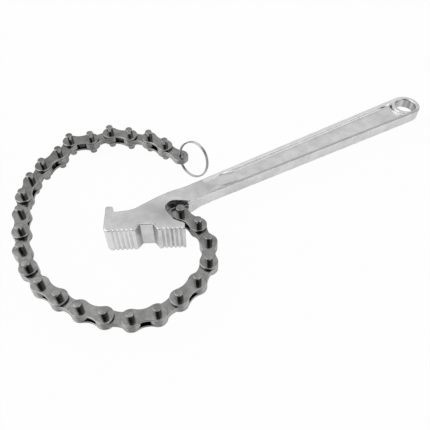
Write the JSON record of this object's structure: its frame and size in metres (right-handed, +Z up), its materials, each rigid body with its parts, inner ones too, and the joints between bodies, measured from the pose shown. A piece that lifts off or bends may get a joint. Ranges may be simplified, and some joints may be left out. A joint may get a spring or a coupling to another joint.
{
  "type": "chain pipe wrench",
  "caption": "Chain pipe wrench: a forged I-beam handle with a toothed jaw and hook ears, and a pinned plate chain that ends in a split ring.",
  "frame": {"origin": "centre of the jaw head's flat underside, on which the wrench lies", "axes": "+X along the handle towards the hang hole, +Z up along the chain's pins, +Y away from the toothed face"},
  "size_m": [0.3841, 0.206, 0.0323],
  "materials": {
    "forged_steel": "satin grey plated forging",
    "chain_steel": "dark burnished steel",
    "spring_steel": "bright drawn wire"
  },
  "bodies": {
    "wrench": {"handle_forging": "forged_steel", "anchor_pin": "chain_steel"},
    "link_01": {"outer_plate_01": "chain_steel", "pinned_plate_01": "chain_steel"},
    "link_02": {"inner_plates_01": "chain_steel"},
    "link_03": {"outer_plate_02": "chain_steel", "pinned_plate_02": "chain_steel"},
    "link_04": {"inner_plates_02": "chain_steel"},
    "link_05": {"outer_plate_03": "chain_steel", "pinned_plate_03": "chain_steel"},
    "link_06": {"inner_plates_03": "chain_steel"},
    "link_07": {"outer_plate_04": "chain_steel", "pinned_plate_04": "chain_steel"},
    "link_08": {"inner_plates_04": "chain_steel"},
    "link_09": {"outer_plate_05": "chain_steel", "pinned_plate_05": "chain_steel"},
    "link_10": {"inner_plates_05": "chain_steel"},
    "link_11": {"outer_plate_06": "chain_steel", "pinned_plate_06": "chain_steel"},
    "link_12": {"inner_plates_06": "chain_steel"},
    "link_13": {"outer_plate_07": "chain_steel", "pinned_plate_07": "chain_steel"},
    "link_14": {"inner_plates_07": "chain_steel"},
    "link_15": {"outer_plate_08": "chain_steel", "pinned_plate_08": "chain_steel"},
    "link_16": {"inner_plates_08": "chain_steel"},
    "link_17": {"outer_plate_09": "chain_steel", "pinned_plate_09": "chain_steel"},
    "link_18": {"inner_plates_09": "chain_steel"},
    "link_19": {"outer_plate_10": "chain_steel", "pinned_plate_10": "chain_steel"},
    "link_20": {"inner_plates_10": "chain_steel"},
    "link_21": {"outer_plate_11": "chain_steel", "pinned_plate_11": "chain_steel"},
    "link_22": {"inner_plates_11": "chain_steel"},
    "link_23": {"outer_plate_12": "chain_steel", "pinned_plate_12": "chain_steel"},
    "link_24": {"inner_plates_12": "chain_steel"},
    "link_25": {"outer_plate_13": "chain_steel", "pinned_plate_13": "chain_steel"},
    "link_26": {"end_link_plates": "chain_steel"},
    "ring": {"split_ring": "spring_steel"}
  },
  "joints": [
    {"name": "pin_01_hinge", "type": "hinge", "parent": "wrench", "child": "link_01", "pos_m": [0.02827, -0.00287, 0.012], "axis": [0, 0, 1], "range_deg": [-9, 45]},
    {"name": "pin_02_hinge", "type": "hinge", "parent": "link_01", "child": "link_02", "pos_m": [0.03472, -0.01968, 0.012], "axis": [0, 0, -1], "range_deg": [-52, 10]},
    {"name": "pin_03_hinge", "type": "hinge", "parent": "link_02", "child": "link_03", "pos_m": [0.03378, -0.03765, 0.012], "axis": [0, 0, 1], "range_deg": [-9, 53]},
    {"name": "pin_04_hinge", "type": "hinge", "parent": "link_03", "child": "link_04", "pos_m": [0.02533, -0.05354, 0.012], "axis": [0, 0, -1], "range_deg": [-55, 7]},
    {"name": "pin_05_hinge", "type": "hinge", "parent": "link_04", "child": "link_05", "pos_m": [0.01059, -0.06387, 0.012], "axis": [0, 0, 1], "range_deg": [-5, 45]},
    {"name": "pin_06_hinge", "type": "hinge", "parent": "link_05", "child": "link_06", "pos_m": [-0.00653, -0.06943, 0.012], "axis": [0, 0, -1], "range_deg": [-36, 4]},
    {"name": "pin_07_hinge", "type": "hinge", "parent": "link_06", "child": "link_07", "pos_m": [-0.02426, -0.07255, 0.012], "axis": [0, 0, 1], "range_deg": [-3, 54]},
    {"name": "pin_08_hinge", "type": "hinge", "parent": "link_07", "child": "link_08", "pos_m": [-0.04156, -0.06759, 0.012], "axis": [0, 0, -1], "range_deg": [-48, 3]},
    {"name": "pin_09_hinge", "type": "hinge", "parent": "link_08", "child": "link_09", "pos_m": [-0.05613, -0.05701, 0.012], "axis": [0, 0, 1], "range_deg": [-2, 38]},
    {"name": "pin_10_hinge", "type": "hinge", "parent": "link_09", "child": "link_10", "pos_m": [-0.06863, -0.04407, 0.012], "axis": [0, 0, -1], "range_deg": [-40, 2]},
    {"name": "pin_11_hinge", "type": "hinge", "parent": "link_10", "child": "link_11", "pos_m": [-0.07817, -0.0288, 0.012], "axis": [0, 0, 1], "range_deg": [-2, 34]},
    {"name": "pin_12_hinge", "type": "hinge", "parent": "link_11", "child": "link_12", "pos_m": [-0.08606, -0.01262, 0.012], "axis": [0, 0, -1], "range_deg": [-43, 2]},
    {"name": "pin_13_hinge", "type": "hinge", "parent": "link_12", "child": "link_13", "pos_m": [-0.08949, 0.00505, 0.012], "axis": [0, 0, 1], "range_deg": [-2, 40]},
    {"name": "pin_14_hinge", "type": "hinge", "parent": "link_13", "child": "link_14", "pos_m": [-0.08918, 0.02304, 0.012], "axis": [0, 0, -1], "range_deg": [-40, 2]},
    {"name": "pin_15_hinge", "type": "hinge", "parent": "link_14", "child": "link_15", "pos_m": [-0.08513, 0.04058, 0.012], "axis": [0, 0, 1], "range_deg": [-2, 31]},
    {"name": "pin_16_hinge", "type": "hinge", "parent": "link_15", "child": "link_16", "pos_m": [-0.08017, 0.05788, 0.012], "axis": [0, 0, -1], "range_deg": [-34, 2]},
    {"name": "pin_17_hinge", "type": "hinge", "parent": "link_16", "child": "link_17", "pos_m": [-0.07343, 0.07458, 0.012], "axis": [0, 0, 1], "range_deg": [-2, 42]},
    {"name": "pin_18_hinge", "type": "hinge", "parent": "link_17", "child": "link_18", "pos_m": [-0.06284, 0.08914, 0.012], "axis": [0, 0, -1], "range_deg": [-40, 2]},
    {"name": "pin_19_hinge", "type": "hinge", "parent": "link_18", "child": "link_19", "pos_m": [-0.04947, 0.10118, 0.012], "axis": [0, 0, 1], "range_deg": [-3, 46]},
    {"name": "pin_20_hinge", "type": "hinge", "parent": "link_19", "child": "link_20", "pos_m": [-0.03302, 0.1085, 0.012], "axis": [0, 0, -1], "range_deg": [-13, 4]},
    {"name": "pin_21_hinge", "type": "hinge", "parent": "link_20", "child": "link_21", "pos_m": [-0.01904, 0.11983, 0.012], "axis": [0, 0, 1], "range_deg": [-5, 87]},
    {"name": "pin_22_hinge", "type": "hinge", "parent": "link_21", "child": "link_22", "pos_m": [-0.00212, 0.11367, 0.012], "axis": [0, 0, -1], "range_deg": [-11, 5]},
    {"name": "pin_23_hinge", "type": "hinge", "parent": "link_22", "child": "link_23", "pos_m": [0.01585, 0.11273, 0.012], "axis": [0, 0, 1], "range_deg": [-9, 64]},
    {"name": "pin_24_hinge", "type": "hinge", "parent": "link_23", "child": "link_24", "pos_m": [0.02984, 0.1014, 0.012], "axis": [0, 0, -1], "range_deg": [-29, 59]},
    {"name": "pin_25_hinge", "type": "hinge", "parent": "link_24", "child": "link_25", "pos_m": [0.04363, 0.08983, 0.012], "axis": [0, 0, 1], "range_deg": [-35, 53]},
    {"name": "pin_26_hinge", "type": "hinge", "parent": "link_25", "child": "link_26", "pos_m": [0.05124, 0.07352, 0.012], "axis": [0, 0, -1], "range_deg": [-30, 58]},
    {"name": "ring_hinge", "type": "hinge", "parent": "link_26", "child": "ring", "pos_m": [0.05827, 0.05695, 0.012], "axis": [0, 0, 1], "range_deg": [-70, 70]}
  ]
}
